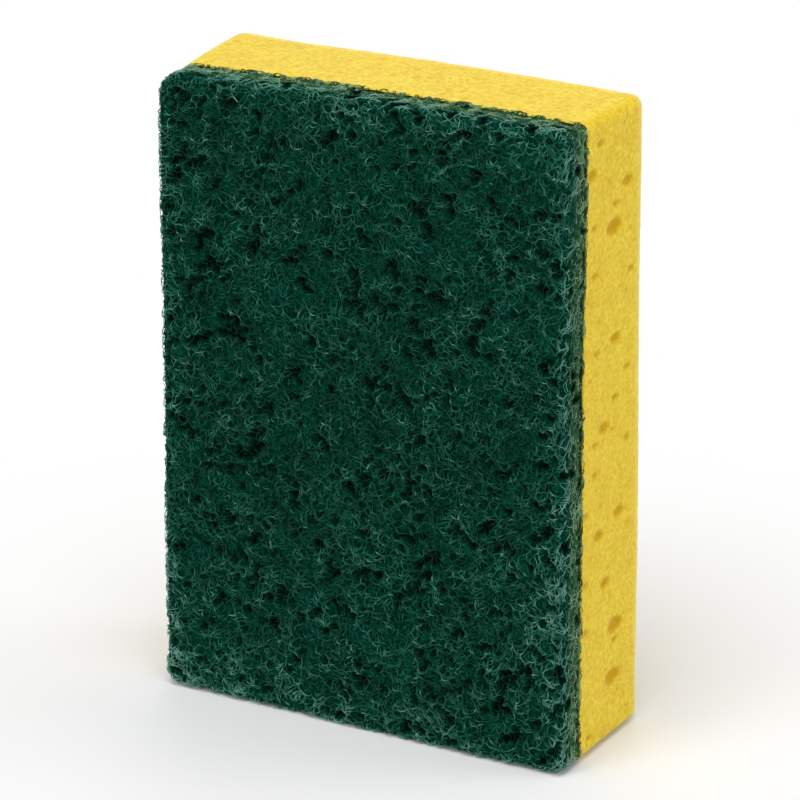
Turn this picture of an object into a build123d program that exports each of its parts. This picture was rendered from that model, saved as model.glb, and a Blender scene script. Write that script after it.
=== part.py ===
"""Scouring sponge: a block of cellulose sponge with a non-woven scouring pad bonded to one broad face.

It stands on its short end. X runs across the width, Y through the thickness from the scouring face (-Y)
to the open sponge face (+Y), and Z up the length. The origin is the centre of the base.
"""

from build123d import *
import math
import os
import random

# Driving dimensions, in millimetres.
length = 110.0  # along Z
width = 77.0  # along X
sponge_thickness = 20.0
pad_thickness = 7.0

# Rounding of the outline's four corners, as seen from the scouring face.
top_left_radius = 4.2
top_right_radius = 2.0
bottom_left_radius = 2.6
bottom_right_radius = 2.0

pad_edge_radius = 1.5  # round the scouring face
sponge_edge_radius = 1.0  # round the open sponge face

# Pores are open bowls, each cut by a ball whose centre stands proud of the face.
pore_centre_rise = 0.3  # as a share of the pore's radius
pore_rim = 0.4  # the least flat left between a pore and the end of its face
pore_radii = [0.5, 0.8, 1.2, 1.7]
pore_frequency = [10, 7, 4, 1]  # how often each radius comes up among scattered pores
side_pore_pitch = 5.0
back_pore_pitch = 7.0
pore_seed = 11

# Pores on the right-hand side: (share of the thickness from the bond, share of the length, radius).
right_side_pores = [
    (0.10, 0.00, 0.8), (0.83, 0.01, 0.5), (0.68, 0.05, 0.5), (0.01, 0.05, 0.5), (0.60, 0.07, 1.7),
    (0.61, 0.14, 0.8), (0.62, 0.16, 1.7), (0.01, 0.19, 0.8), (0.40, 0.25, 1.2), (0.00, 0.27, 0.8),
    (0.80, 0.33, 0.5), (0.25, 0.34, 1.2), (0.65, 0.36, 1.2), (0.00, 0.39, 0.8), (0.27, 0.39, 0.5),
    (0.18, 0.45, 0.8), (0.80, 0.48, 0.8), (0.17, 0.50, 0.8), (0.50, 0.51, 0.5), (0.33, 0.52, 1.2),
    (0.57, 0.56, 0.8), (0.31, 0.57, 0.5), (0.79, 0.60, 0.8), (0.07, 0.61, 0.5), (0.20, 0.65, 0.8),
    (0.38, 0.65, 0.5), (0.56, 0.66, 1.2), (0.22, 0.70, 0.5), (0.64, 0.74, 0.5), (0.85, 0.76, 0.8),
    (0.12, 0.78, 0.8), (0.49, 0.85, 1.7), (0.09, 0.86, 0.8), (0.52, 0.88, 0.8), (0.77, 0.91, 1.2),
    (0.38, 0.92, 0.5), (0.00, 0.95, 1.2), (0.18, 0.99, 0.8), (0.68, 1.00, 0.5),
]

# Places and limits that follow from the sizes.
scouring_face_y = -(sponge_thickness + pad_thickness) / 2
bond_y = scouring_face_y + pad_thickness
sponge_face_y = bond_y + sponge_thickness
corner_radii = [top_left_radius, top_right_radius, bottom_left_radius, bottom_right_radius]
largest_edge_radius = 0.9 * min(corner_radii)  # an edge can't be rounder than the corners that it passes
# A square corner's rounding reaches this far in along the diagonal, measured along either side.
corner_reach = max(corner_radii) * (1 - math.sqrt(0.5))


def draw_outline(outline):
    """Draws the outline that both layers share in the open sketch `outline`: a rectangle on its bottom edge."""
    Rectangle(width, length, align=(Align.CENTER, Align.MIN))
    for x, y, radius in (
        (-width / 2, length, top_left_radius),
        (width / 2, length, top_right_radius),
        (-width / 2, 0, bottom_left_radius),
        (width / 2, 0, bottom_right_radius),
    ):
        fillet(outline.vertices().sort_by_distance((x, y))[0], radius)


def flat_span(full, inset_start, inset_end):
    """The stretch of a face of size `full` that its rounded edges leave flat, less the pores' rim."""
    return inset_start + pore_rim, full - inset_end - pore_rim


def placed(share, span, radius):
    """Where a pore of this radius lies on a span, from 0, against its start, to 1, against its end."""
    start, end = span
    return start + radius + share * (end - start - 2 * radius)


def scattered(x_span, y_span, pitch, chance):
    """Pores over a whole face: one in each cell of a grid, anywhere that keeps it inside its own cell."""
    columns = max(1, int((x_span[1] - x_span[0]) / pitch))
    rows = max(1, int((y_span[1] - y_span[0]) / pitch))
    cell_x = (x_span[1] - x_span[0]) / columns
    cell_y = (y_span[1] - y_span[0]) / rows
    pores = []
    for column in range(columns):
        for row in range(rows):
            radius = chance.choices(pore_radii, pore_frequency)[0]
            cell_x_span = (x_span[0] + column * cell_x, x_span[0] + (column + 1) * cell_x)
            cell_y_span = (y_span[0] + row * cell_y, y_span[0] + (row + 1) * cell_y)
            x = placed(chance.random(), cell_x_span, radius)
            y = placed(chance.random(), cell_y_span, radius)
            pores.append((x, y, radius))
    return pores


def cut_pores(face, pores):
    """Cuts pores, (x, y, radius) on the plane `face`, into the open part, one radius at a time."""
    for radius in pore_radii:
        places = [(x, y, pore_centre_rise * radius) for x, y, size in pores if size == radius]
        if places:
            with Locations(face):
                with Locations(*places):
                    Sphere(radius, mode=Mode.SUBTRACT)


# The scouring pad: an open web of resin-coated fibres, solid here over its full loft.
with BuildPart() as scouring_pad:
    with BuildSketch(Plane.XZ.offset(-bond_y)) as pad_outline:
        draw_outline(pad_outline)
    extrude(amount=pad_thickness)
    scouring_edges = scouring_pad.faces().sort_by(Axis.Y)[0].edges()
    fillet(scouring_edges, min(pad_edge_radius, largest_edge_radius))

# The sponge block, with its open pores on the two long sides and the broad face.
with BuildPart() as sponge_block:
    with BuildSketch(Plane.XZ.offset(-bond_y)) as block_outline:
        draw_outline(block_outline)
    extrude(amount=-sponge_thickness)
    back_edge_radius = min(sponge_edge_radius, largest_edge_radius)
    back_edges = sponge_block.faces().sort_by(Axis.Y)[-1].edges()
    fillet(back_edges, back_edge_radius)

    chance = random.Random(pore_seed)
    side_span = flat_span(sponge_thickness, 0, back_edge_radius)

    right_side = Plane(origin=(width / 2, bond_y, 0), x_dir=(0, 1, 0), z_dir=(1, 0, 0))
    right_span = flat_span(length, bottom_right_radius, top_right_radius)
    right_pores = [
        (placed(across, side_span, radius), placed(up, right_span, radius), radius)
        for across, up, radius in right_side_pores
    ]
    cut_pores(right_side, right_pores)

    left_side = Plane(origin=(-width / 2, bond_y, 0), x_dir=(0, 1, 0), z_dir=(-1, 0, 0))
    left_span = flat_span(length, bottom_left_radius, top_left_radius)
    # This plane's own y runs down, so heights on it are negative.
    left_pores = [(x, -z, radius) for x, z, radius in scattered(side_span, left_span, side_pore_pitch, chance)]
    cut_pores(left_side, left_pores)

    back = Plane(origin=(width / 2, sponge_face_y, 0), x_dir=(-1, 0, 0), z_dir=(0, 1, 0))
    back_inset = back_edge_radius + corner_reach
    back_x_span = flat_span(width, back_inset, back_inset)
    back_z_span = flat_span(length, back_inset, back_inset)
    cut_pores(back, scattered(back_x_span, back_z_span, back_pore_pitch, chance))

os.makedirs("parts", exist_ok=True)
for name, piece in {"scouring_pad": scouring_pad, "sponge_block": sponge_block}.items():
    piece.part.label = name
    export_step(piece.part, f"parts/{name}.step")
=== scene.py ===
"""A cleaning sponge standing on its short end: a cellulose sponge block with a scouring web on its front.

Sizes are in metres. X runs across the width, Y through the thickness from the scouring face (-Y) to the
open sponge face (+Y), and Z up the length.
"""

import math
import random

import bpy
import numpy as np
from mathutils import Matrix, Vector


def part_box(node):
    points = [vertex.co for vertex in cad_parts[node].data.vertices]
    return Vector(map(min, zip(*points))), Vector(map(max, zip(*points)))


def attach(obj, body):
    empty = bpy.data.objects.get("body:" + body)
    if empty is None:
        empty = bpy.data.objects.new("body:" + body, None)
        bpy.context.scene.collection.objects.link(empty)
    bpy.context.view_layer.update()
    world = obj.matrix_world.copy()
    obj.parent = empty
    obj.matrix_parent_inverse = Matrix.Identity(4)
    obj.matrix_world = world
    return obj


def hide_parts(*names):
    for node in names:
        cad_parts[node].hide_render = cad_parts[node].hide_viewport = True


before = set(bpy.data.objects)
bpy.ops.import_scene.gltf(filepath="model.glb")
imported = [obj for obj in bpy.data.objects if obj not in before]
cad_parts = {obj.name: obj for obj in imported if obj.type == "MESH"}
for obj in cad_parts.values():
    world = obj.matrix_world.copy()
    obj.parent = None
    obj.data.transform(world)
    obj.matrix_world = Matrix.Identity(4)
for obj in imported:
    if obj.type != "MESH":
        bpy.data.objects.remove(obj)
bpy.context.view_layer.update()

MM = 0.001

# The two layers, as the frame holds them.
pad_low, pad_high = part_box("scouring_pad")
block_low, block_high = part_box("sponge_block")
HALF_WIDTH = block_high.x
LENGTH = block_high.z
FRONT_Y = pad_low.y
BOND_Y = pad_high.y
BACK_Y = block_high.y
PAD_THICKNESS = BOND_Y - FRONT_Y
SPONGE_THICKNESS = BACK_Y - BOND_Y

# Rounding of the outline's corners, as seen from the scouring face, and of the two broad faces' edges.
TOP_LEFT_RADIUS = 4.2 * MM
TOP_RIGHT_RADIUS = 2.0 * MM
BOTTOM_LEFT_RADIUS = 2.6 * MM
BOTTOM_RIGHT_RADIUS = 2.0 * MM
PAD_EDGE_RADIUS = 1.5 * MM
SPREAD_AT_FOOT = 0.01  # how much wider the foot is than the middle, which the top is narrower by
SPONGE_EDGE_RADIUS = 2.1 * MM
FOOT_SWELL = 1.9 * MM  # how much thicker the sponge is at its foot
FOOT_SWELL_AT_TOP = 0.25  # the share of it that is left at the top
CORNER_REACH = (15 * MM, 60 * MM)  # how far across and down the top left corner is drawn out at the back
CORNER_OUT = 2.2 * MM
CORNER_UP = 0.5 * MM
TOP_CROWN = 0.5 * MM  # how much higher the ends' middles stand than their corners
FOOT_CROWN = 0.25 * MM
BACK_RISE = 0.3 * MM  # how much higher the top's back edge stands
WAVE_HEIGHT = 0.45 * MM
WAVE_LENGTH = 34 * MM

# Pores, as in the CAD model: open bowls cut by balls whose centres stand proud of the face.
PORE_CENTRE_RISE = 0.3
PORE_RIM = 0.4 * MM
PORE_RADII = [0.5 * MM, 0.8 * MM, 1.2 * MM, 1.7 * MM]
PORE_FREQUENCY = [10, 7, 4, 1]
SIDE_PORE_PITCH = 5.0 * MM
BACK_PORE_PITCH = 7.0 * MM
PORE_SEED = 11
PORE_STRETCH = 1.7  # how much wider than high the pores of the long sides are
PIT_SHARE = 0.6  # how deep the pores are pressed, against the CAD model's
DEEP_PIT = 0.55 * MM  # the depth from which a pore has its full painted shade
SMALL_RADII = (0.25, 0.60)  # in mm, of the cells between the pores
RIM_WIDTH = (0.6 * MM, 3.6 * MM)  # where the painted rim highlight of the open sponge face starts to fade, and ends
FACING = 0.6  # the part of a surface's direction from which it counts as that face
CAD_EDGE_RADIUS = 1.0 * MM
# Pores on the right-hand side: (share of the thickness from the bond, share of the length, radius in mm).
RIGHT_SIDE_PORES = [
    (0.10, 0.00, 0.8), (0.83, 0.01, 0.5), (0.68, 0.05, 0.5), (0.01, 0.05, 0.5), (0.60, 0.07, 1.7),
    (0.61, 0.14, 0.8), (0.62, 0.16, 1.7), (0.01, 0.19, 0.8), (0.40, 0.25, 1.2), (0.00, 0.27, 0.8),
    (0.80, 0.33, 0.5), (0.25, 0.34, 1.2), (0.65, 0.36, 1.2), (0.00, 0.39, 0.8), (0.27, 0.39, 0.5),
    (0.18, 0.45, 0.8), (0.80, 0.48, 0.8), (0.17, 0.50, 0.8), (0.50, 0.51, 0.5), (0.33, 0.52, 1.2),
    (0.57, 0.56, 0.8), (0.31, 0.57, 0.5), (0.79, 0.60, 0.8), (0.07, 0.61, 0.5), (0.20, 0.65, 0.8),
    (0.38, 0.65, 0.5), (0.56, 0.66, 1.2), (0.22, 0.70, 0.5), (0.64, 0.74, 0.5), (0.85, 0.76, 0.8),
    (0.12, 0.78, 0.8), (0.49, 0.85, 1.7), (0.09, 0.86, 0.8), (0.52, 0.88, 0.8), (0.77, 0.91, 1.2),
    (0.38, 0.92, 0.5), (0.00, 0.95, 1.2), (0.18, 0.99, 0.8), (0.68, 1.00, 0.5),
]

# The meshes' grids.
BLOCK_PITCH = (0.60 * MM, 0.44 * MM, 0.50 * MM)  # across, through and up
CORE_PITCH = (0.55 * MM, 0.70 * MM, 0.56 * MM)

# The scouring web: strands wound through the outer shell of the pad, round a darker core.
CORE_INSET = 0.85 * MM  # from the web's outer surface to the core, on the scouring face
CORE_SIDE_INSET = 0.22 * MM  # and on the cut sides
CLUMP_RELIEF = 0.45 * MM  # how much nearer the surface the strands lie in a clump than in a hollow
CLUMP_PULL = 0.22 * MM**2  # how far strands lean from the hollows towards the clumps, per unit of slope
POCKET_DEPTH = 0.7 * MM  # how far the web sinks in its dark pockets
POCKET_PULL = 0.16 * MM**2  # how far strands lean out of the pockets, per unit of slope
STRAND_STEP = 0.34 * MM  # along a strand, from ring to ring
WEB_LAYERS = [
    # name, strands, steps in each, shallowest and deepest, radius, flat, on the cut sides only, seed
    ("web_strands_inner", 2700, 28, 0.40 * MM, 0.85 * MM, 0.120 * MM, True, False, 21),
    ("web_strands_middle", 1000, 28, 0.20 * MM, 0.75 * MM, 0.100 * MM, False, False, 22),
    ("web_strands_outer", 1000, 28, 0.08 * MM, 0.65 * MM, 0.090 * MM, False, False, 23),
    ("web_strands_surface", 1000, 28, 0.02 * MM, 0.55 * MM, 0.080 * MM, False, False, 24),
    ("web_strands_sides", 2000, 9, 0.02 * MM, 0.26 * MM, 0.062 * MM, False, True, 25),
]

# The camera.
VIEW_AZIMUTH = math.radians(29.85)
VIEW_ELEVATION = math.radians(20.1)
VIEW_DISTANCE = 0.659
VIEW_TARGET = Vector((8.4 * MM, FRONT_Y, 61.0 * MM))
LENS = 182.1
SENSOR = 36.0


# ---------------------------------------------------------------- numbers


def value_noise(points, scale, seed):
    """Smooth noise from 0 to 1 at each point, with features about `scale` across."""
    p = points / scale
    cell = np.floor(p).astype(np.int64)
    f = p - cell
    f = f * f * (3 - 2 * f)
    total = np.zeros(len(points))
    for corner in range(8):
        bit = np.array([corner & 1, corner >> 1 & 1, corner >> 2 & 1])
        i, j, k = (cell + bit).T
        mixed = (i * 73856093) ^ (j * 19349663) ^ (k * 83492791) ^ (seed * 2654435761)
        mixed = (mixed ^ (mixed >> 13)) * 1274126177 & 0x7FFFFFFF
        mixed = (mixed ^ (mixed >> 16)) & 0xFFFF
        weight = np.prod(np.where(bit == 1, f, 1 - f), axis=1)
        total += weight * mixed / 65535
    return total


def smoothstep(low, high, x):
    """0 below `low`, 1 above `high` and a smooth rise between them."""
    t = np.clip((x - low) / (high - low), 0, 1)
    return t * t * (3 - 2 * t)


def outline_distance(x, z):
    """The distance of points inside (-) or outside (+) the outline, and the outline's outward direction."""
    z = z - LENGTH / 2
    left, bottom = x < 0, z < 0
    radius = np.where(
        bottom,
        np.where(left, BOTTOM_LEFT_RADIUS, BOTTOM_RIGHT_RADIUS),
        np.where(left, TOP_LEFT_RADIUS, TOP_RIGHT_RADIUS),
    )
    over_x = np.abs(x) - HALF_WIDTH + radius
    over_z = np.abs(z) - LENGTH / 2 + radius
    at_corner = (over_x > 0) & (over_z > 0)
    far = np.maximum(np.hypot(over_x, over_z), 1e-12)
    distance = np.where(at_corner, far, np.maximum(over_x, over_z)) - radius
    to_x = np.where(at_corner, over_x / far, over_x > over_z)
    to_z = np.where(at_corner, over_z / far, over_x <= over_z)
    return distance, to_x * np.where(left, -1, 1), to_z * np.where(bottom, -1, 1)


def hand_cut(points):
    """The soft form of a cut sponge: wider and thicker at its foot, its ends crowned, its faces wavy."""
    across = points[:, 0] / HALF_WIDTH
    up = points[:, 2] / LENGTH
    moved = points.copy()
    moved[:, 0] *= 1 + SPREAD_AT_FOOT * (1 - 2 * up)
    through = np.clip((points[:, 1] - BOND_Y) / SPONGE_THICKNESS, 0, 1)
    moved[:, 1] += FOOT_SWELL * through * (1 - (1 - FOOT_SWELL_AT_TOP) * smoothstep(0.3, 1, up))
    near_left = smoothstep(CORNER_REACH[0] - HALF_WIDTH, 1 * MM - HALF_WIDTH, points[:, 0])
    corner = through**0.7 * near_left * smoothstep(LENGTH - CORNER_REACH[1], LENGTH, points[:, 2])
    moved[:, 0] -= CORNER_OUT * corner
    moved[:, 2] += CORNER_UP * corner
    moved[:, 2] += (TOP_CROWN * (1 - across**2) + BACK_RISE * through) * smoothstep(0.5, 1, up)
    moved[:, 2] += FOOT_CROWN * across**2 * (1 - smoothstep(0, 0.5, up))
    for axis, seed in ((0, 71), (1, 72)):
        wave = value_noise(points, WAVE_LENGTH, seed) - 0.5
        moved[:, axis] += WAVE_HEIGHT * wave * smoothstep(0, 0.08, up)
    return moved


# ---------------------------------------------------------------- meshes


def make_mesh(name, points, quads, triangles=(), attributes=None, bake_map=None):
    """A smooth-shaded mesh object from numpy arrays, with a float attribute for each name given."""
    mesh = bpy.data.meshes.new(name)
    mesh.vertices.add(len(points))
    mesh.vertices.foreach_set("co", np.asarray(points, np.float32).ravel())
    triangles = np.asarray(triangles, np.int32).reshape(-1, 3)
    corners = np.concatenate([np.asarray(quads, np.int32).ravel(), triangles.ravel()])
    starts = np.concatenate(
        [4 * np.arange(len(quads)), 4 * len(quads) + 3 * np.arange(len(triangles))]
    )
    mesh.loops.add(len(corners))
    mesh.loops.foreach_set("vertex_index", corners)
    mesh.polygons.add(len(starts))
    mesh.polygons.foreach_set("loop_start", starts.astype(np.int32))
    for key, values in (attributes or {}).items():
        made = mesh.attributes.new(key, "FLOAT", "POINT")
        made.data.foreach_set("value", np.asarray(values, np.float32))
    if bake_map is not None:
        layer = mesh.uv_layers.new(name="OFBake")
        layer.uv.foreach_set("vector", np.asarray(bake_map, np.float32)[corners].ravel())
    mesh.update()
    mesh.validate()
    mesh.shade_smooth()
    made_object = bpy.data.objects.new(name, mesh)
    bpy.context.scene.collection.objects.link(made_object)
    return made_object


def box_lattice(counts):
    """The surface of a box of counts[0] by counts[1] by counts[2] cells, open at its low second axis.

    Gives each point's share along the three axes, the quads, and the ring of points round the open side.
    """
    nx, ny, nz = counts
    grid = np.full((nx + 1, ny + 1, nz + 1), -1, np.int64)
    shell = np.zeros(grid.shape, bool)
    shell[[0, -1], :, :] = True
    shell[:, :, [0, -1]] = True
    shell[:, -1, :] = True
    grid[shell] = np.arange(shell.sum())
    shares = np.argwhere(shell) / np.array(counts)

    def quads_of(plane, flip):
        a, b, c, d = plane[:-1, :-1], plane[1:, :-1], plane[1:, 1:], plane[:-1, 1:]
        order = (a, d, c, b) if flip else (a, b, c, d)
        return np.stack([corner.ravel() for corner in order], 1)

    quads = np.concatenate(
        [
            quads_of(grid[0], True),
            quads_of(grid[-1], False),
            quads_of(grid[:, :, 0], True),
            quads_of(grid[:, :, -1], False),
            quads_of(grid[:, -1, :], True),
        ]
    )
    ring = np.concatenate([grid[:-1, 0, 0], grid[-1, 0, :-1], grid[:0:-1, 0, -1], grid[0, 0, :0:-1]])
    return shares, quads, ring


def rounded_block(closed_y, face_y, edge_radius, pitch, inset=0.0):
    """A block with the sponge's outline, from a flat hidden side at closed_y to a broad face at face_y.

    The broad face's edges are rounded. Gives its points, outward directions, quads and the triangles
    that close the hidden side.
    """
    thickness = abs(face_y - closed_y)
    towards = 1 if face_y > closed_y else -1
    counts = [
        round(2 * HALF_WIDTH / pitch[0]),
        round(thickness / pitch[1]),
        round(LENGTH / pitch[2]),
    ]
    shares, quads, ring = box_lattice(counts)
    x = (2 * shares[:, 0] - 1) * HALF_WIDTH
    z = shares[:, 2] * LENGTH
    drop = (1 - shares[:, 1]) * thickness

    # Square corners become round ones: each ring about a corner's centre shrinks onto a quarter circle.
    for side, end, radius in (
        (-1, 1, TOP_LEFT_RADIUS),
        (1, 1, TOP_RIGHT_RADIUS),
        (-1, 0, BOTTOM_LEFT_RADIUS),
        (1, 0, BOTTOM_RIGHT_RADIUS),
    ):
        centre_x = side * (HALF_WIDTH - radius)
        centre_z = end * LENGTH + (1 - 2 * end) * radius
        a = (x - centre_x) * side / radius
        b = (z - centre_z) * (2 * end - 1) / radius
        inside = (a > 0) & (b > 0)
        shrink = np.where(inside, np.maximum(a, b) / np.maximum(np.hypot(a, b), 1e-12), 1)
        x = np.where(inside, centre_x + side * a * shrink * radius, x)
        z = np.where(inside, centre_z + (2 * end - 1) * b * shrink * radius, z)

    # The broad face's edge: the last of the face and the first of the sides share one quarter round.
    distance, to_x, to_z = outline_distance(x, z)
    on_face = shares[:, 1] == 1
    along = np.where(on_face, np.maximum(distance, -edge_radius), np.minimum(drop, edge_radius))
    angle = (along + edge_radius) / (2 * edge_radius) * math.pi / 2
    depth_in = np.where(on_face, np.minimum(-distance, edge_radius), 0)
    shift = edge_radius * np.sin(angle) - (edge_radius - depth_in)
    rounded_drop = edge_radius * (1 - np.cos(angle)) + np.maximum(drop - edge_radius, 0)
    points = np.stack(
        [x + to_x * shift, face_y - towards * rounded_drop, z + to_z * shift], 1
    )
    normals = np.stack([to_x * np.sin(angle), towards * np.cos(angle), to_z * np.sin(angle)], 1)
    points -= normals * inset

    centre = len(points)
    points = np.vstack([points, [0, closed_y, LENGTH / 2]])
    normals = np.vstack([normals, [0, -towards, 0]])
    cap = np.stack([np.full(len(ring), centre), ring, np.roll(ring, -1)], 1)
    if towards < 0:
        quads, cap = quads[:, ::-1], cap[:, ::-1]
    return points, normals, quads, cap


# ---------------------------------------------------------------- sponge block


def flat_span(full, inset_start, inset_end):
    """The stretch of a face of size `full` that its rounded edges leave flat, less the pores' rim."""
    return inset_start + PORE_RIM, full - inset_end - PORE_RIM


def placed(share, span, radius):
    """Where a pore of this radius lies on a span, from 0, against its start, to 1, against its end."""
    start, end = span
    return start + radius + share * (end - start - 2 * radius)


def scattered(x_span, y_span, pitch, chance):
    """Pores over a whole face: one in each cell of a grid, anywhere that keeps it inside its own cell."""
    columns = max(1, int((x_span[1] - x_span[0]) / pitch))
    rows = max(1, int((y_span[1] - y_span[0]) / pitch))
    cell_x = (x_span[1] - x_span[0]) / columns
    cell_y = (y_span[1] - y_span[0]) / rows
    pores = []
    for column in range(columns):
        for row in range(rows):
            radius = chance.choices(PORE_RADII, PORE_FREQUENCY)[0]
            cell_x_span = (x_span[0] + column * cell_x, x_span[0] + (column + 1) * cell_x)
            cell_y_span = (y_span[0] + row * cell_y, y_span[0] + (row + 1) * cell_y)
            x = placed(chance.random(), cell_x_span, radius)
            y = placed(chance.random(), cell_y_span, radius)
            pores.append((x, y, radius))
    return pores


def cad_pores():
    """The CAD model's pores by face: (position along the face, height, radius)."""
    chance = random.Random(PORE_SEED)
    side_span = flat_span(SPONGE_THICKNESS, 0, CAD_EDGE_RADIUS)
    right_span = flat_span(LENGTH, BOTTOM_RIGHT_RADIUS, TOP_RIGHT_RADIUS)
    right = [
        (BOND_Y + placed(across, side_span, radius * MM), placed(up, right_span, radius * MM), radius * MM)
        for across, up, radius in RIGHT_SIDE_PORES
    ]
    left_span = flat_span(LENGTH, BOTTOM_LEFT_RADIUS, TOP_LEFT_RADIUS)
    left = [
        (BOND_Y + y, z, radius)
        for y, z, radius in scattered(side_span, left_span, SIDE_PORE_PITCH, chance)
    ]
    inset = CAD_EDGE_RADIUS + TOP_LEFT_RADIUS * (1 - math.sqrt(0.5))
    back_x_span = flat_span(2 * HALF_WIDTH, inset, inset)
    back_z_span = flat_span(LENGTH, inset, inset)
    back = [
        (HALF_WIDTH - x, z, radius)
        for x, z, radius in scattered(back_x_span, back_z_span, BACK_PORE_PITCH, chance)
    ]
    return {"right": right, "left": left, "back": back}


def press_pores(depth, across, up, mask, pores, wobble, stretch=1.0):
    """Deepens `depth` where bowls are cut into the face whose points `mask` picks."""
    index = np.flatnonzero(mask)
    face_across, face_up = across[index], up[index]
    for at_across, at_up, radius in pores:
        aside, above = (face_across - at_across) / stretch, face_up - at_up
        near = (np.abs(aside) < radius * 1.3) & (np.abs(above) < radius * 1.3)
        picked = index[near]
        reach = np.hypot(aside[near], above[near])
        reach = reach * (1 + 0.35 * (wobble[picked] - 0.5)) / radius
        bowl = (1 - smoothstep(0.35, 1.0, reach)) * (1 - PORE_CENTRE_RISE) * radius
        depth[picked] = np.maximum(depth[picked], bowl)


def build_sponge_block():
    """The sponge, with its pores pressed in. Its attributes say where the pores' painted shade and the
    painted rim highlight go.
    """
    points, normals, quads, cap = rounded_block(BOND_Y, BACK_Y, SPONGE_EDGE_RADIUS, BLOCK_PITCH)
    x, y, z = points.T
    wobble = value_noise(points, 0.9 * MM, 5)
    right, left = normals[:, 0] > FACING, normals[:, 0] < -FACING
    back = normals[:, 1] > FACING
    top, bottom = normals[:, 2] > FACING, normals[:, 2] < -FACING
    pores = cad_pores()
    depth = np.zeros(len(points))
    press_pores(depth, y, z, right, pores["right"], wobble, PORE_STRETCH)
    press_pores(depth, y, z, left, pores["left"], wobble, PORE_STRETCH)
    press_pores(depth, x, z, back, pores["back"], wobble)

    # Small cells between the pores, finer and shallower than the CAD model holds.
    chance = np.random.default_rng(31)
    for mask, across, up, low, high, per_mm2 in (
        (right, y, z, (BOND_Y, 0), (BACK_Y, LENGTH), 0.10),
        (left, y, z, (BOND_Y, 0), (BACK_Y, LENGTH), 0.14),
        (back, x, z, (-HALF_WIDTH, 0), (HALF_WIDTH, LENGTH), 0.14),
        (top, x, y, (-HALF_WIDTH, BOND_Y), (HALF_WIDTH, BACK_Y), 0.10),
        (bottom, x, y, (-HALF_WIDTH, BOND_Y), (HALF_WIDTH, BACK_Y), 0.10),
    ):
        area = (high[0] - low[0]) * (high[1] - low[1]) / MM**2
        count = int(area * per_mm2)
        cells = np.stack(
            [
                chance.uniform(low[0], high[0], count),
                chance.uniform(low[1], high[1], count),
                chance.uniform(*SMALL_RADII, count) * MM,
            ],
            1,
        )
        small = np.zeros(len(points))
        press_pores(small, across, up, mask, cells, wobble)
        depth = np.maximum(depth, PIT_SHARE * small)

    grain = value_noise(points, 0.75 * MM, 6) + 0.6 * value_noise(points, 1.6 * MM, 7)
    points = points - normals * (PIT_SHARE * depth + 0.08 * MM * (grain - 0.8))[:, None]
    points[-1] = (0, BOND_Y, LENGTH / 2)
    points[:, 1] = np.maximum(points[:, 1], BOND_Y)
    points[:, 2] = np.maximum(points[:, 2], 0)
    from_edge = np.maximum(BACK_Y - y, -outline_distance(x, z)[0])
    patchy = 0.5 + 0.5 * value_noise(points, 2.2 * MM, 8)
    # Painted highlight: a paler rim along the edges of the open face.
    rim = (1 - smoothstep(*RIM_WIDTH, from_edge)) * patchy
    points = hand_cut(points)
    # Painted shade: how far each pore's bowl has come towards its full darker gold.
    pore = np.clip(depth / DEEP_PIT, 0, 1)
    return make_mesh("sponge_cellulose", points, quads, cap, {"pore": pore, "rim": rim})


# ---------------------------------------------------------------- scouring web


def on_pad(u, v, depth):
    """Points of the pad's outer shell. u and v lie on the front face, and go on past it down the sides.

    Gives the points, `depth` under the surface, and the surface's outward directions there.
    """
    distance, to_x, to_z = outline_distance(u, v)
    past = distance + PAD_EDGE_RADIUS
    angle = np.clip(past / PAD_EDGE_RADIUS, 0, math.pi / 2)
    down_side = np.maximum(past - PAD_EDGE_RADIUS * math.pi / 2, 0)
    out = np.where(past > 0, PAD_EDGE_RADIUS * np.sin(angle) - past, 0)
    drop = PAD_EDGE_RADIUS * (1 - np.cos(angle)) + down_side
    normals = np.stack([to_x * np.sin(angle), -np.cos(angle), to_z * np.sin(angle)], -1)
    points = np.stack([u + to_x * out, FRONT_Y + drop, v + to_z * out], -1)
    return points - normals * depth[..., None], normals


# On the unrolled pad, from the outline to the bond.
SIDE_REACH = PAD_EDGE_RADIUS * (math.pi / 2 - 1) + PAD_THICKNESS - PAD_EDGE_RADIUS
BOND_OVERLAP = 0.15 * MM  # how far the web's ragged edge lies over the sponge, on average
BOND_RAGGEDNESS = 1.1 * MM
LAP_RUN = 0.5 * MM  # strands rise to the surface over this much before the bond
LAP_LIFT = 0.06 * MM  # and lie this far above the sponge past it
# Painted shade: how much darker the strands are in the web's pockets.
POCKET_PAINTED_SHADE = 0.6
# Painted shadow: how much darker the strands are in the gaps along the bond.
BOND_SHADOW_DARKNESS = 0.8
SIDE_LIGHTNESS = 0.28  # how much lighter the strands of the cut sides are
TONE_SHARE = 0.85  # of the bake map's second axis, which the tone has; the rest tells strands apart


def clumping(points):
    """How densely the web is felted at points of its surface: near 0 in a hollow, near 1 in a clump."""
    x, y, z = points.T
    turned = np.stack([0.8 * x + 0.6 * z, y, 0.8 * z - 0.6 * x], 1)
    felt = 0.55 * value_noise(points, 1.9 * MM, 61) + 0.45 * value_noise(turned, 1.0 * MM, 62)
    return smoothstep(0.2, 0.8, felt)


def pockets(points):
    """1 in the web's scattered dark pockets and 0 elsewhere."""
    x, y, z = points.T
    turned = np.stack([0.6 * x - 0.8 * z, y, 0.6 * z + 0.8 * x], 1)
    felt = 0.6 * value_noise(turned, 1.9 * MM, 63) + 0.4 * value_noise(points, 0.9 * MM, 64)
    return 1 - smoothstep(0.26, 0.38, felt)


def felt_at(u, v):
    """The web's clumping and pockets at places of the unrolled pad."""
    surface = on_pad(u, v, np.zeros(u.shape))[0].reshape(-1, 3)
    return clumping(surface).reshape(u.shape), pockets(surface).reshape(u.shape)


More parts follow.
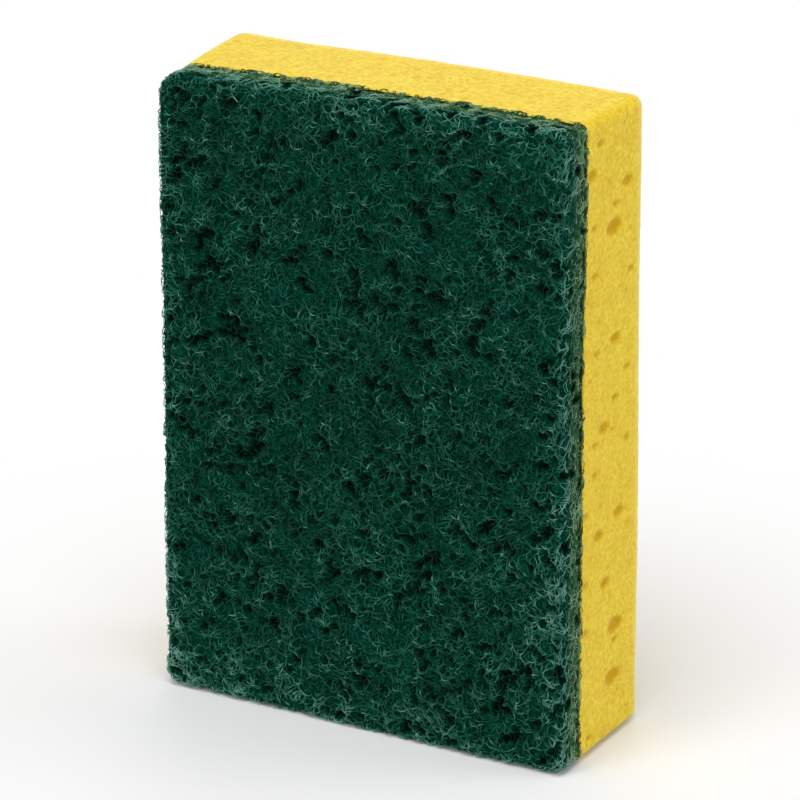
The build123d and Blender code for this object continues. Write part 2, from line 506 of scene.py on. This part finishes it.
def strand_lines(count, steps, sides_only, seed):
    """Crimped strands over the unrolled pad: u, v and swing in depth of each step, and a chance each."""
    chance = np.random.default_rng(seed)
    reach = SIDE_REACH + 0.3 * MM
    tries = (14 if sides_only else 4) * count
    u = chance.uniform(-HALF_WIDTH - reach, HALF_WIDTH + reach, tries)
    v = chance.uniform(-reach, LENGTH + reach, tries)
    distance = outline_distance(u, v)[0]
    spot = np.stack([u, np.zeros(tries), v], 1)
    patch = 0.6 * value_noise(spot, 9 * MM, seed) + 0.4 * value_noise(spot, 3.5 * MM, seed + 50)
    keep = (distance < reach) & (chance.random(tries) < 0.35 + 1.1 * patch)
    if sides_only:
        keep &= distance > -0.2 * MM
    u, v = u[keep][:count], v[keep][:count]
    count = len(u)

    arc = np.arange(steps + 1) * STRAND_STEP
    bend = chance.uniform(0.3, 1.35, (count, 1)) / MM
    wave = chance.uniform(2.2, 6.5, (count, 1)) * MM
    phase = chance.uniform(0, 2 * math.pi, (count, 1))
    drift = chance.normal(0, 0.15, (count, 1)) / MM
    wobble = chance.normal(0, 0.5, (count, steps + 1)) / MM
    curve = bend * np.sin(2 * math.pi * arc / wave + phase) + drift + wobble
    heading = chance.uniform(0, 2 * math.pi, (count, 1)) + np.cumsum(curve, 1) * STRAND_STEP
    du = np.cumsum(np.cos(heading), 1) * STRAND_STEP
    dv = np.cumsum(np.sin(heading), 1) * STRAND_STEP
    u = u[:, None] + du - du.mean(1, keepdims=True)
    v = v[:, None] + dv - dv.mean(1, keepdims=True)

    ply = chance.uniform(1.6, 3.4, (count, 1)) * MM
    swing = 0.5 + 0.5 * np.sin(2 * math.pi * arc / ply + chance.uniform(0, 2 * math.pi, (count, 1)))
    return u, v, swing, chance.random(count)


def felted(u, v):
    """Leans strands out of hollows and pockets, and gives the clumping and pockets where they come to lie."""
    step = 0.25 * MM
    clump, pocket = felt_at(u, v)
    clump_u, pocket_u = felt_at(u + step, v)
    clump_v, pocket_v = felt_at(u, v + step)
    u = u + (CLUMP_PULL * (clump_u - clump) - POCKET_PULL * (pocket_u - pocket)) / step
    v = v + (CLUMP_PULL * (clump_v - clump) - POCKET_PULL * (pocket_v - pocket)) / step
    return u, v, *felt_at(u, v)


def kept_on_pad(u, v, seed):
    """Turns strands back where they would cross the ragged line between the web and the sponge."""
    flat = np.stack([u.ravel(), np.zeros(u.size), v.ravel()], 1)
    ragged = (value_noise(flat, 1.3 * MM, seed + 7) - 0.5).reshape(u.shape)
    distance, to_x, to_z = outline_distance(u, v)
    over = np.maximum(distance - SIDE_REACH - BOND_OVERLAP - BOND_RAGGEDNESS * ragged, 0)
    return u - 2 * over * to_x, v - 2 * over * to_z


def across_strand(points, normals):
    """Directions across and out of the strands at each of their points."""
    along = np.gradient(points, axis=1)
    along /= np.maximum(np.linalg.norm(along, axis=2, keepdims=True), 1e-12)
    across = np.cross(along, normals)
    across /= np.maximum(np.linalg.norm(across, axis=2, keepdims=True), 1e-12)
    return across, np.cross(across, along)


def ribbons(points, normals, radius, tilt):
    """Flat strands along rows of points, rolled by `tilt` about their own length: vertices and quads."""
    count, rings = points.shape[:2]
    across, up = across_strand(points, normals)
    side = radius[..., None] * (np.cos(tilt)[..., None] * across + np.sin(tilt)[..., None] * up)
    vertices = np.stack([points - side, points + side], 2).reshape(-1, 3)
    first = (np.arange(count)[:, None] * rings + np.arange(rings - 1)) * 2
    quads = np.stack([first, first + 2, first + 3, first + 1], -1).reshape(-1, 4)
    return vertices, quads


def tubes(points, normals, radius):
    """Three-sided closed tubes along rows of points: their vertices, quads and end triangles."""
    count, rings = points.shape[:2]
    across, up = across_strand(points, normals)
    corners = [
        points + radius[..., None] * (math.cos(a) * across + math.sin(a) * up)
        for a in (math.pi / 2, math.pi * 7 / 6, math.pi * 11 / 6)
    ]
    vertices = np.stack(corners, 2).reshape(-1, 3)
    first = (np.arange(count)[:, None] * rings + np.arange(rings - 1)) * 3
    quads = np.stack(
        [
            np.stack([first + k, first + (k + 1) % 3, first + 3 + (k + 1) % 3, first + 3 + k], -1)
            for k in range(3)
        ],
        2,
    ).reshape(-1, 4)
    start = np.arange(count) * rings * 3
    end = start + (rings - 1) * 3
    ends = np.concatenate(
        [np.stack([start + 2, start + 1, start], 1), np.stack([end, end + 1, end + 2], 1)]
    )
    return vertices, quads, ends


def build_web_layer(name, count, steps, shallow, deep, radius, flat, sides_only, seed):
    """One layer of strands wound through the pad's outer shell, with a shade and a tone at each point."""
    u, v, swing, chance = strand_lines(count, steps, sides_only, seed)
    u, v, clump, pocket = felted(u, v)
    u, v = kept_on_pad(u, v, seed)
    depth = shallow + (deep - shallow) * swing + CLUMP_RELIEF * (0.6 - clump) + POCKET_DEPTH * pocket
    depth = np.maximum(depth, 0.02 * MM)
    lapping = smoothstep(SIDE_REACH - LAP_RUN, SIDE_REACH, outline_distance(u, v)[0])
    depth = depth * (1 - lapping) - LAP_LIFT * lapping
    points, normals = on_pad(u, v, depth)
    count, rings = u.shape
    taper = np.minimum(1, 0.45 + 0.55 * np.minimum(np.arange(rings), np.arange(rings)[::-1]) / 2)
    spare = np.random.default_rng(seed + 1)
    thick = radius * (0.8 + 0.45 * spare.random((count, 1))) * taper
    if flat:
        roll = spare.uniform(-0.7, 0.7, (count, 1)) + 0.5 * np.sin(7 * swing)
        vertices, quads = ribbons(points, normals, thick, roll)
        ends = ()
    else:
        vertices, quads, ends = tubes(points, normals, thick)
    felt = clump.ravel() * (1 - pocket.ravel())
    shade = strand_shade(points.reshape(-1, 3), chance.repeat(rings), depth.ravel(), felt, seed)
    # Painted shade: strands are darker in the pockets.
    shade = shade * (1 - POCKET_PAINTED_SHADE * pocket.ravel()) + (SIDE_LIGHTNESS if sides_only else 0)
    # Painted shadow in the gaps along the bond.
    shade = np.clip(shade * (1 - BOND_SHADOW_DARKNESS * bond_shadow(points.reshape(-1, 3))), 0, 1)
    shade = shade.repeat(len(vertices) // len(shade))
    vertices = hand_cut(vertices)
    vertices[:, 2] = np.maximum(vertices[:, 2], 0)
    tone = near_bond(points.reshape(-1, 3)).repeat(len(vertices) // count // rings)
    apart = (1 - TONE_SHARE) * (np.arange(len(shade)) % 997) / 997
    spread = np.stack([shade, apart + TONE_SHARE * tone], 1)
    return make_mesh(name, vertices, quads, ends, {"shade": shade, "tone": tone}, bake_map=spread)


def bond_shadow(points):
    """1 in the row of painted shadow gaps along the bond and 0 elsewhere."""
    close = smoothstep(BOND_Y - 1.6 * MM, BOND_Y - 0.5 * MM, points[:, 1])
    return close * smoothstep(0.40, 0.56, value_noise(points, 0.9 * MM, 66))


def near_bond(points):
    """0 over the scouring face and 1 on the cut sides close to the bond, where the web turns olive."""
    return smoothstep(BOND_Y - 5.5 * MM, BOND_Y - 0.8 * MM, points[:, 1])


# Where the web is paler from wear: x, z and reach.
WORN_PLACES = [
    (-HALF_WIDTH, 6 * MM, 5 * MM),
    (-HALF_WIDTH, 0, 3 * MM),
    (HALF_WIDTH, 0, 6 * MM),
]


def strand_shade(points, chance, depth, clump, seed):
    """How light the strands are at each point, from 0 to 1: by chance, with painted highlights in short
    stretches, painted shade in the hollows between clumps and with depth, painted bounce light near the foot,
    lighter near the outline, and paler in worn places.
    """
    x, y, z = points.T
    patch = value_noise(points, 7 * MM, seed + 9)
    fine = value_noise(points, 1.5 * MM, seed + 10)
    glint = smoothstep(0.3, 0.8, value_noise(points, 0.8 * MM, seed + 11))
    broad = value_noise(points, 14 * MM, 65)
    distance = outline_distance(x, z)[0]
    edge = smoothstep(-8 * MM, 0, distance)
    worn = np.zeros(len(points))
    for at_x, at_z, reach in WORN_PLACES:
        away = np.hypot(x - at_x, z - at_z)
        worn = np.maximum(worn, 1 - smoothstep(0, reach, away))
    # Strands are lighter by chance, and show it only along the glint's short painted highlights.
    shade = 0.08 + 0.50 * chance**1.5 * glint
    # Painted shade: strands in the hollows between clumps are darker.
    shade = shade + 0.16 * patch + 0.10 * fine + 0.24 * clump + 0.14 * broad
    # Painted bounce light from the floor: strands are lighter towards the foot.
    shade = shade + 0.12 * (1 - smoothstep(0, 55 * MM, z))
    # Painted shade: strands are darker the deeper they lie under the surface.
    shade = shade * (1 - 0.5 * np.clip(depth / (1.0 * MM), 0, 1)) + 0.22 * edge + 0.40 * worn
    return np.clip(shade, 0, 1)


def build_web_core():
    """The web under its strands: a lumpy block, with attributes for its pockets of painted shade and its
    olive tone near the bond.
    """
    points, normals, quads, cap = rounded_block(BOND_Y, FRONT_Y, PAD_EDGE_RADIUS, CORE_PITCH)
    lump = value_noise(points, 1.5 * MM, 41) + 0.5 * value_noise(points, 0.9 * MM, 42)
    facing = np.abs(normals[:, 1])
    inset = CORE_SIDE_INSET + (CORE_INSET - CORE_SIDE_INSET) * facing
    inset = inset + (0.2 + 0.5 * facing) * MM * (lump - 0.75)
    # Painted shade: the pockets, and the gaps along the bond, go near black.
    pocket = np.maximum(pockets(points), 0.9 * bond_shadow(points))
    tone = near_bond(points)
    points = points - normals * (inset + 0.5 * MM * pocket * facing)[:, None]
    points[-1] = (0, BOND_Y, LENGTH / 2)
    points = hand_cut(points)
    return make_mesh("scouring_web_core", points, quads, cap, {"pocket": pocket, "tone": tone})


# ---------------------------------------------------------------- materials


def new_material(name, roughness, specular):
    material = bpy.data.materials.new(name)
    material.use_nodes = True
    shader = material.node_tree.nodes["Principled BSDF"]
    shader.inputs["Roughness"].default_value = roughness
    shader.inputs["Specular IOR Level"].default_value = specular
    return material, shader


def add(material, kind, **settings):
    node = material.node_tree.nodes.new(kind)
    for key, value in settings.items():
        setattr(node, key, value)
    return node


def link(material, out, into):
    material.node_tree.links.new(out, into)


def ramp(material, factor, stops):
    """A colour ramp with stops of (position, linear colour), fed by `factor`."""
    node = add(material, "ShaderNodeValToRGB")
    elements = node.color_ramp.elements
    while len(elements) < len(stops):
        elements.new(0.5)
    for element, (position, colour) in zip(elements, stops):
        element.position = position
        element.color = (*colour, 1)
    link(material, factor, node.inputs[0])
    return node.outputs["Color"]


def noise(material, scale, detail=2.0, roughness=0.5):
    """Procedural noise in the object's own coordinates, with features about 1/scale metres across."""
    place = add(material, "ShaderNodeTexCoord")
    node = add(material, "ShaderNodeTexNoise")
    node.inputs["Scale"].default_value = scale
    node.inputs["Detail"].default_value = detail
    node.inputs["Roughness"].default_value = roughness
    link(material, place.outputs["Object"], node.inputs["Vector"])
    return node.outputs["Fac"]


def mixed(material, factor, low, high):
    """Colour `low` where factor is 0 and `high` where it is 1. Each is a colour or a socket."""
    node = add(material, "ShaderNodeMix", data_type="RGBA")
    link(material, factor, node.inputs["Factor"])
    for name, value in (("A", low), ("B", high)):
        socket = [s for s in node.inputs if s.name == name and s.type == "RGBA"][0]
        if isinstance(value, tuple):
            socket.default_value = (*value, 1)
        else:
            link(material, value, socket)
    return [s for s in node.outputs if s.type == "RGBA"][0]


def fine_pores(material, scale, share):
    """Soft round dots for the smallest pores, 1 at their middles, in about `share` of a tiling's cells."""
    place = add(material, "ShaderNodeTexCoord")
    cells = add(material, "ShaderNodeTexVoronoi")
    cells.inputs["Scale"].default_value = scale
    link(material, place.outputs["Object"], cells.inputs["Vector"])
    dot = add(material, "ShaderNodeMapRange", interpolation_type="SMOOTHSTEP")
    dot.inputs["From Min"].default_value = 0.42
    dot.inputs["From Max"].default_value = 0.16
    link(material, cells.outputs["Distance"], dot.inputs["Value"])
    chosen = add(material, "ShaderNodeMath", operation="LESS_THAN")
    chosen.inputs[1].default_value = share
    channels = add(material, "ShaderNodeSeparateColor")
    link(material, cells.outputs["Color"], channels.inputs["Color"])
    link(material, channels.outputs["Red"], chosen.inputs[0])
    shown = add(material, "ShaderNodeMath", operation="MULTIPLY")
    link(material, dot.outputs["Result"], shown.inputs[0])
    link(material, chosen.outputs["Value"], shown.inputs[1])
    return shown.outputs["Value"]


def cellulose_material():
    material, shader = new_material("cellulose_yellow", 0.75, 0.2)
    speckle = noise(material, 1300, 3.0, 0.65)
    colour = ramp(
        material,
        speckle,
        [(0.32, (0.66, 0.44, 0.012)), (0.50, (0.77, 0.56, 0.026)), (0.70, (0.85, 0.66, 0.062))],
    )
    deeper = ramp(material, speckle, [(0.32, (0.64, 0.42, 0.010)), (0.70, (0.80, 0.59, 0.036))])
    mottle = ramp(material, noise(material, 330, 2.0, 0.6), [(0.32, (0, 0, 0)), (0.60, (1, 1, 1))])
    colour = mixed(material, mottle, deeper, colour)
    dots = add(material, "ShaderNodeMath", operation="MAXIMUM")
    link(material, fine_pores(material, 480, 0.22), dots.inputs[0])
    link(material, fine_pores(material, 900, 0.25), dots.inputs[1])
    # Painted shade in the smallest pores: darker gold dots.
    colour = mixed(material, dots.outputs["Value"], colour, (0.67, 0.43, 0.008))
    rim = add(material, "ShaderNodeAttribute", attribute_name="rim")
    # Painted highlight on the rim.
    colour = mixed(material, rim.outputs["Fac"], colour, (0.85, 0.72, 0.20))
    pore = add(material, "ShaderNodeAttribute", attribute_name="pore")
    # Painted shade in the pores: a deeper gold.
    colour = mixed(material, pore.outputs["Fac"], colour, (0.60, 0.360, 0.001))
    link(material, colour, shader.inputs["Base Color"])
    shader.inputs["Subsurface Weight"].default_value = 0.25
    shader.inputs["Subsurface Radius"].default_value = (1.0, 0.6, 0.12)
    shader.inputs["Subsurface Scale"].default_value = 1.5 * MM
    shader.inputs["Sheen Weight"].default_value = 0.12
    shader.inputs["Sheen Roughness"].default_value = 0.4
    height = add(material, "ShaderNodeMath", operation="SUBTRACT")
    link(material, noise(material, 1700, 3.0, 0.6), height.inputs[0])
    link(material, dots.outputs["Value"], height.inputs[1])
    bump = add(material, "ShaderNodeBump")
    bump.inputs["Strength"].default_value = 0.3
    bump.inputs["Distance"].default_value = 0.2 * MM
    link(material, height.outputs["Value"], bump.inputs["Height"])
    link(material, bump.outputs["Normal"], shader.inputs["Normal"])
    return material


# The strands' colours by their shade: over the scouring face, and close to the bond.
FACE_GREENS = [
    (0.05, (0.0006, 0.022, 0.011)),
    (0.35, (0.0025, 0.060, 0.034)),
    (0.65, (0.0180, 0.135, 0.086)),
    (1.00, (0.1500, 0.360, 0.280)),
]
BOND_GREENS = [
    (0.05, (0.0090, 0.045, 0.020)),
    (0.35, (0.0540, 0.145, 0.068)),
    (0.65, (0.1350, 0.260, 0.128)),
    (1.00, (0.3000, 0.450, 0.240)),
]


def strand_material():
    material, shader = new_material("web_strand_green", 0.5, 0.08)
    shade = add(material, "ShaderNodeAttribute", attribute_name="shade").outputs["Fac"]
    tone = add(material, "ShaderNodeAttribute", attribute_name="tone").outputs["Fac"]
    colour = mixed(material, tone, ramp(material, shade, FACE_GREENS), ramp(material, shade, BOND_GREENS))
    link(material, colour, shader.inputs["Base Color"])
    return material


def filaments(material, scale, width):
    """Curly lines, 1 along them and 0 off them: where noise passes through its middle value."""
    middle = add(material, "ShaderNodeMath", operation="SUBTRACT")
    link(material, noise(material, scale, 1.0), middle.inputs[0])
    middle.inputs[1].default_value = 0.5
    away = add(material, "ShaderNodeMath", operation="ABSOLUTE")
    link(material, middle.outputs["Value"], away.inputs[0])
    line = add(material, "ShaderNodeMapRange", interpolation_type="SMOOTHSTEP")
    line.inputs["From Min"].default_value = width
    line.inputs["From Max"].default_value = 0
    link(material, away.outputs["Value"], line.inputs["Value"])
    return line.outputs["Result"]


def core_material():
    """The web deeper down: felted green whose dark greens are partly painted shade of the depth, with
    near-black pockets of painted shade, crossed by fine curly lines.
    """
    material, shader = new_material("web_core_green", 0.8, 0.0)
    felt = noise(material, 1500, 2.0, 0.6)
    colour = ramp(
        material,
        felt,
        [(0.35, (0.0004, 0.012, 0.006)), (0.52, (0.0015, 0.036, 0.021)), (0.70, (0.0045, 0.070, 0.043))],
    )
    lines = add(material, "ShaderNodeMath", operation="MAXIMUM")
    link(material, filaments(material, 620, 0.035), lines.inputs[0])
    link(material, filaments(material, 830, 0.035), lines.inputs[1])
    colour = mixed(material, lines.outputs["Value"], colour, (0.0060, 0.085, 0.053))
    olive = ramp(
        material,
        felt,
        [(0.35, (0.0120, 0.050, 0.022)), (0.52, (0.0500, 0.130, 0.060)), (0.70, (0.1100, 0.210, 0.100))],
    )
    tone = add(material, "ShaderNodeAttribute", attribute_name="tone")
    colour = mixed(material, tone.outputs["Fac"], colour, olive)
    pocket = add(material, "ShaderNodeAttribute", attribute_name="pocket")
    # Painted shade: near black in the pockets and in the gaps along the bond.
    colour = mixed(material, pocket.outputs["Fac"], colour, (0.0002, 0.005, 0.0025))
    link(material, colour, shader.inputs["Base Color"])
    bump = add(material, "ShaderNodeBump")
    bump.inputs["Strength"].default_value = 1.0
    bump.inputs["Distance"].default_value = 0.2 * MM
    link(material, lines.outputs["Value"], bump.inputs["Height"])
    link(material, bump.outputs["Normal"], shader.inputs["Normal"])
    return material


# ---------------------------------------------------------------- stage


FLOOR_REACH = 3.0
WHITE_FROM = 0.03  # the floor starts to go white this far from the origin
WHITE_TO = 0.14
WORLD_STRENGTH = 0.35


def seen_share(material):
    """1 for what the camera sees, directly, mirrored or through glass, and 0 for light on the object."""
    path = add(material, "ShaderNodeLightPath")
    seen = path.outputs["Is Camera Ray"]
    for ray in ("Is Glossy Ray", "Is Transmission Ray"):
        either = add(material, "ShaderNodeMath", operation="MAXIMUM")
        link(material, seen, either.inputs[0])
        link(material, path.outputs[ray], either.inputs[1])
        seen = either.outputs["Value"]
    return seen


def build_stage():
    """A pale floor that goes to plain white away from the sponge, and keeps its shadow near it."""
    mesh = bpy.data.meshes.new("floor")
    corners = [(x * FLOOR_REACH, y * FLOOR_REACH, 0) for x, y in ((-1, -1), (1, -1), (1, 1), (-1, 1))]
    mesh.from_pydata(corners, [], [(0, 1, 2, 3)])
    floor = bpy.data.objects.new("floor", mesh)
    bpy.context.scene.collection.objects.link(floor)
    material, shader = new_material("floor_white", 0.9, 0.0)
    shader.inputs["Base Color"].default_value = (0.86, 0.86, 0.86, 1)
    white = add(material, "ShaderNodeEmission")
    place = add(material, "ShaderNodeNewGeometry")
    length = add(material, "ShaderNodeVectorMath", operation="LENGTH")
    link(material, place.outputs["Position"], length.inputs[0])
    away = add(material, "ShaderNodeMapRange", interpolation_type="SMOOTHSTEP")
    away.inputs["From Min"].default_value = WHITE_FROM
    away.inputs["From Max"].default_value = WHITE_TO
    link(material, length.outputs["Value"], away.inputs["Value"])
    share = add(material, "ShaderNodeMath", operation="MULTIPLY")
    link(material, away.outputs["Result"], share.inputs[0])
    link(material, seen_share(material), share.inputs[1])
    blend = add(material, "ShaderNodeMixShader")
    link(material, share.outputs["Value"], blend.inputs["Fac"])
    link(material, shader.outputs["BSDF"], blend.inputs[1])
    link(material, white.outputs["Emission"], blend.inputs[2])
    link(material, blend.outputs["Shader"], material.node_tree.nodes["Material Output"].inputs["Surface"])
    mesh.materials.append(material)


def area_light(name, place, target, size, power):
    light = bpy.data.lights.new(name, "AREA")
    light.shape = "DISK"
    light.size = size
    light.energy = power
    lamp = bpy.data.objects.new(name, light)
    lamp.location = place
    lamp.rotation_euler = (Vector(target) - Vector(place)).to_track_quat("-Z", "Y").to_euler()
    bpy.context.scene.collection.objects.link(lamp)


def build_lights():
    middle = (0, 0, LENGTH / 2)
    area_light("key_above", (0.10, -0.30, 0.95), middle, 0.7, 5.6)
    area_light("fill_front", (-0.35, -0.90, 0.45), middle, 0.6, 3.8)
    area_light("fill_back", (-0.50, 0.90, 0.35), middle, 0.7, 2.6)
    area_light("side_right", (0.82, 0.40, 0.40), middle, 0.6, 2.95)
    world = bpy.data.worlds.new("studio")
    world.use_nodes = True
    bpy.context.scene.world = world
    background = world.node_tree.nodes["Background"]
    background.inputs["Color"].default_value = (1, 1, 1, 1)
    strength = add(world, "ShaderNodeMapRange")
    strength.inputs["To Min"].default_value = WORLD_STRENGTH
    link(world, seen_share(world), strength.inputs["Value"])
    link(world, strength.outputs["Result"], background.inputs["Strength"])


def build_camera():
    back = Vector(
        (
            math.sin(VIEW_AZIMUTH) * math.cos(VIEW_ELEVATION),
            -math.cos(VIEW_AZIMUTH) * math.cos(VIEW_ELEVATION),
            math.sin(VIEW_ELEVATION),
        )
    )
    lens = bpy.data.cameras.new("camera")
    lens.lens = LENS
    lens.sensor_width = SENSOR
    camera = bpy.data.objects.new("camera", lens)
    camera.location = VIEW_TARGET + back * VIEW_DISTANCE
    camera.rotation_euler = (-back).to_track_quat("-Z", "Y").to_euler()
    bpy.context.scene.collection.objects.link(camera)
    bpy.context.scene.camera = camera


# ---------------------------------------------------------------- the part

build_camera()
build_lights()
build_stage()

block = build_sponge_block()
block.data.materials.append(cellulose_material())
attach(block, "root")
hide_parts("sponge_block")

core = build_web_core()
core.data.materials.append(core_material())
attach(core, "root")
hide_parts("scouring_pad")

strand_finish = strand_material()
for layer in WEB_LAYERS:
    strands = build_web_layer(*layer)
    strands.data.materials.append(strand_finish)
    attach(strands, "root")

bpy.context.scene.view_settings.view_transform = "Standard"
